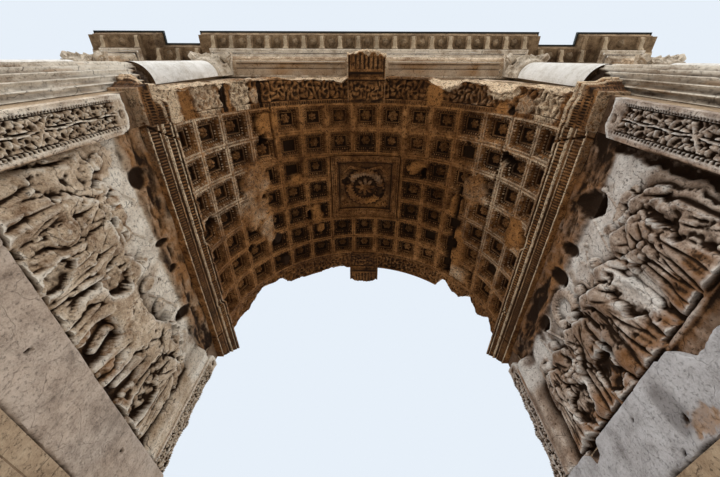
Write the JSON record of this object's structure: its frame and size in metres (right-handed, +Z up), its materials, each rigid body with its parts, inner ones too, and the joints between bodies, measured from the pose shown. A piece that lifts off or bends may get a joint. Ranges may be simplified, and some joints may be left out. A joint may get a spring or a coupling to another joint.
{
  "type": "triumphal arch",
  "caption": "Single-bay marble arch with a coffered passage vault, half columns, breaking entablature and plain attic.",
  "frame": {"origin": "on the ground at the centre of the passage", "axes": "+X across the front to the right, +Y through the passage away from the viewer, +Z up"},
  "size_m": [13.82, 6.42, 15.4],
  "materials": {
    "weathered_marble": "brown sooted marble",
    "carved_marble": "weathered carved marble",
    "wall_marble": "weathered marble blocks",
    "restored_stone": "pale dressed travertine",
    "panel_marble": "pale smooth marble",
    "lead_sheet": "dull dark sheet"
  },
  "bodies": {
    "root": {"podium_left": "wall_marble", "podium_right": "wall_marble", "pier_left": "wall_marble", "pier_right": "wall_marble", "dado_left": "restored_stone", "dado_right": "restored_stone", "relief_panel_left": "carved_marble", "relief_panel_right": "carved_marble", "jamb_strips_left": "carved_marble", "jamb_strips_right": "carved_marble", "impost_left": "weathered_marble", "impost_right": "weathered_marble", "haunch_left": "wall_marble", "haunch_right": "wall_marble", "vault_barrel": "wall_marble", "vault_coffering": "weathered_marble", "crown_panel": "weathered_marble", "arch_ring_front": "carved_marble", "arch_ring_back": "carved_marble", "keystone_front": "carved_marble", "keystone_back": "carved_marble", "spandrels_front": "carved_marble", "spandrels_back": "carved_marble", "column_bases": "restored_stone", "inner_shafts_front": "carved_marble", "inner_shafts_back": "carved_marble", "corner_shafts_front": "restored_stone", "corner_shafts_back": "restored_stone", "capitals_front": "carved_marble", "capitals_back": "carved_marble", "architrave": "carved_marble", "frieze": "carved_marble", "cornice_bed": "wall_marble", "modillions": "wall_marble", "cornice": "wall_marble", "cornice_lead": "lead_sheet", "attic_foot": "restored_stone", "attic_body": "restored_stone", "inscription_panel_front": "panel_marble", "inscription_panel_back": "panel_marble", "attic_cornice": "restored_stone", "attic_roof": "restored_stone", "window_frames_front": "restored_stone", "window_frames_back": "restored_stone"}
  },
  "joints": []
}
